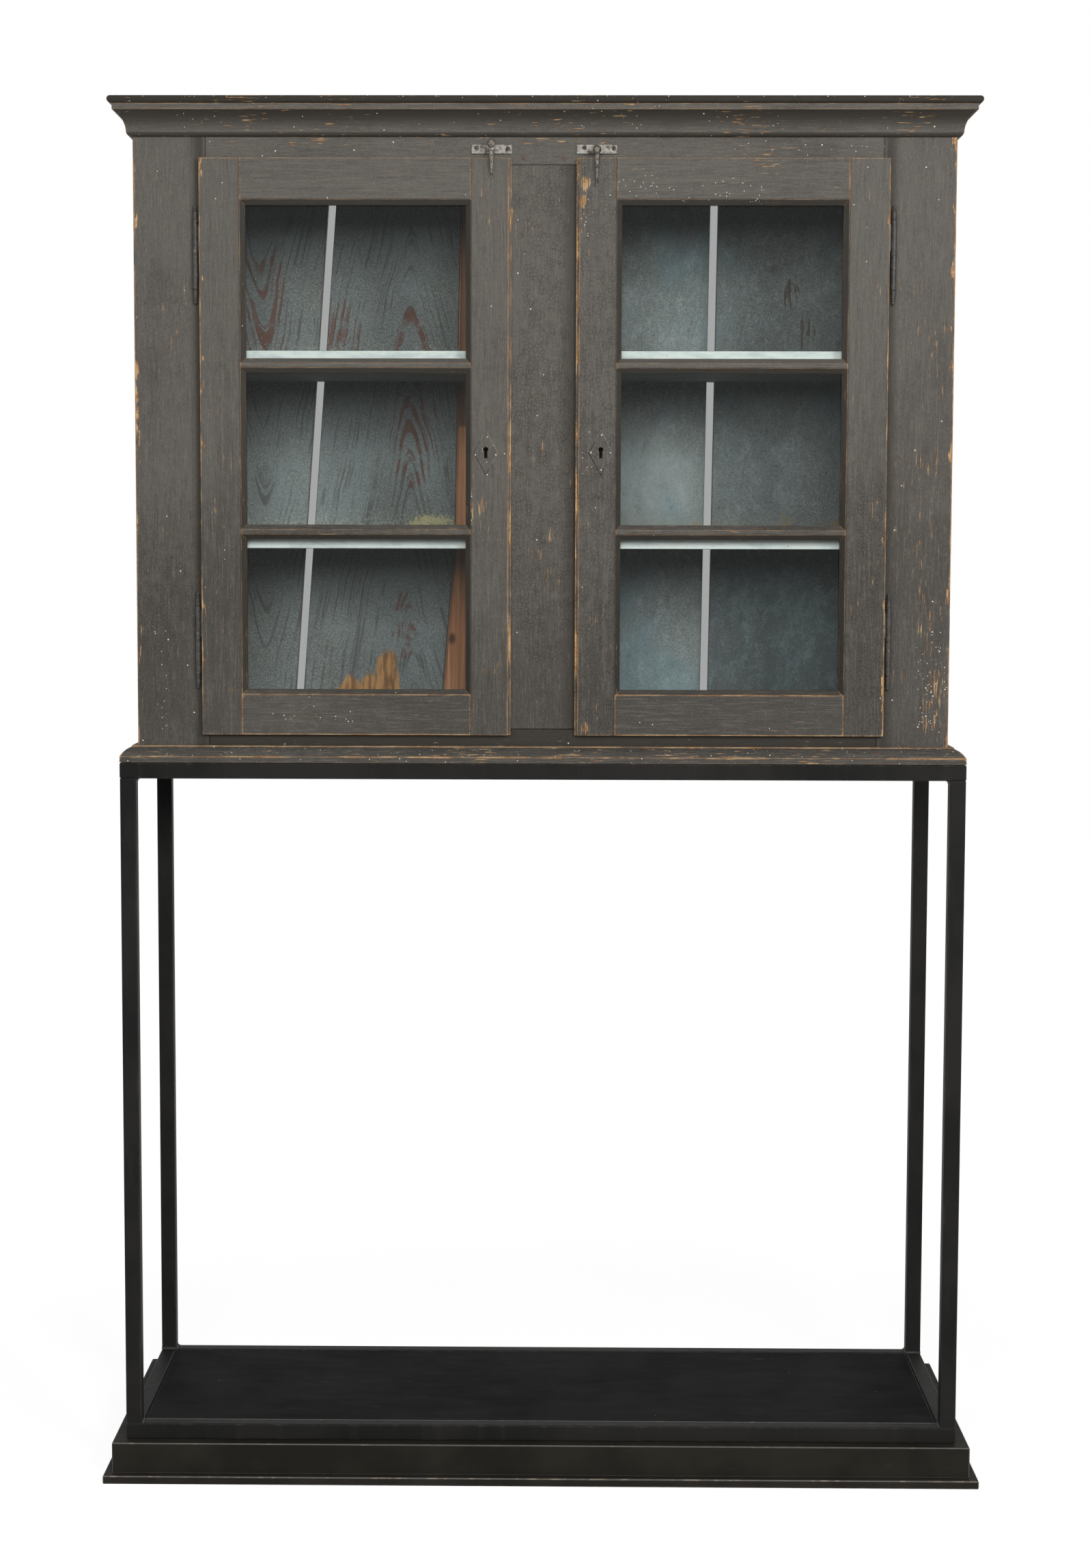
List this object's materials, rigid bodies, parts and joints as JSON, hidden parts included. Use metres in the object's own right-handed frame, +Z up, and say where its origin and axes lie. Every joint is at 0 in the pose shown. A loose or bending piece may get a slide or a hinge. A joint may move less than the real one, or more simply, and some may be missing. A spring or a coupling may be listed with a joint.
{
  "type": "cabinet on stand",
  "caption": "Glazed wooden cabinet with lipped doors, shelves, a moulded cornice, turned hinges and turn latches, on a tall open steel frame with a black plinth.",
  "frame": {"origin": "centre of the overall box at floor level, under the base board", "axes": "+Z up, +X to the right seen from the front, +Y from the doors to the back"},
  "size_m": [1.372, 0.459, 2.145],
  "materials": {
    "painted_pine": "worn dark grey paint over pine, rubbed through along the edges",
    "interior_paint": "worn blue-grey paint over pine",
    "raw_pine": "bare and stained pine",
    "black_steel": "satin black",
    "black_board": "satin black paint",
    "glass": "clear old glass",
    "painted_iron": "painted over with the frame",
    "bare_steel": "dull bare steel",
    "lock_iron": "dark iron"
  },
  "bodies": {
    "case": {"frame_left_stile": "painted_pine", "frame_right_stile": "painted_pine", "frame_top_rail": "painted_pine", "frame_bottom_rail": "painted_pine", "centre_post": "painted_pine", "left_side": "painted_pine", "right_side": "painted_pine", "case_top": "painted_pine", "cornice": "painted_pine", "base_moulding": "painted_pine", "case_floor": "interior_paint", "lower_shelf": "interior_paint", "upper_shelf": "interior_paint", "left_back_board": "interior_paint", "left_middle_back_board": "interior_paint", "right_back_board": "interior_paint", "right_middle_back_board": "raw_pine", "front_left_leg": "black_steel", "front_right_leg": "black_steel", "back_left_leg": "black_steel", "back_right_leg": "black_steel", "stand_top_frame": "black_steel", "stand_bottom_frame": "black_steel", "stand_panel": "black_board", "plinth": "black_board", "base_board": "black_board", "left_lower_hinge_frame_half": "painted_iron", "left_upper_hinge_frame_half": "painted_iron", "right_lower_hinge_frame_half": "painted_iron", "right_upper_hinge_frame_half": "painted_iron", "left_latch_plate": "bare_steel", "right_latch_plate": "bare_steel"},
    "left_door": {"left_door_hinge_stile": "painted_pine", "left_door_lock_stile": "painted_pine", "left_door_top_rail": "painted_pine", "left_door_bottom_rail": "painted_pine", "left_door_bar_1": "painted_pine", "left_door_bar_2": "painted_pine", "left_pane_1": "glass", "left_pane_2": "glass", "left_pane_3": "glass", "left_lower_hinge_door_half": "painted_iron", "left_upper_hinge_door_half": "painted_iron", "left_lock_case": "lock_iron"},
    "right_door": {"right_door_hinge_stile": "painted_pine", "right_door_lock_stile": "painted_pine", "right_door_top_rail": "painted_pine", "right_door_bottom_rail": "painted_pine", "right_door_bar_1": "painted_pine", "right_door_bar_2": "painted_pine", "right_pane_1": "glass", "right_pane_2": "glass", "right_pane_3": "glass", "right_lower_hinge_door_half": "painted_iron", "right_upper_hinge_door_half": "painted_iron", "right_lock_case": "lock_iron"},
    "left_bolt": {"left_lock_bolt": "lock_iron"},
    "right_bolt": {"right_lock_bolt": "lock_iron"},
    "left_latch": {"left_latch_finger": "bare_steel"},
    "right_latch": {"right_latch_finger": "bare_steel"}
  },
  "joints": [
    {"name": "left_door_hinge", "type": "hinge", "parent": "case", "child": "left_door", "pos_m": [-0.5323, -0.176, 1.61515], "axis": [0, 0, -1], "range_deg": [0, 150]},
    {"name": "right_door_hinge", "type": "hinge", "parent": "case", "child": "right_door", "pos_m": [0.5323, -0.176, 1.61515], "axis": [0, 0, 1], "range_deg": [0, 150]},
    {"name": "left_bolt_slide", "type": "slide", "parent": "left_door", "child": "left_bolt", "axis": [1, 0, 0], "range_m": [0, 0.01]},
    {"name": "right_bolt_slide", "type": "slide", "parent": "right_door", "child": "right_bolt", "axis": [-1, 0, 0], "range_m": [0, 0.01]},
    {"name": "left_latch_turn", "type": "hinge", "parent": "case", "child": "left_latch", "pos_m": [-0.08, -0.1848, 2.0685], "axis": [0, 1, 0], "range_deg": [-100, 100]},
    {"name": "right_latch_turn", "type": "hinge", "parent": "case", "child": "right_latch", "pos_m": [0.08, -0.1848, 2.065], "axis": [0, 1, 0], "range_deg": [-100, 100]}
  ]
}
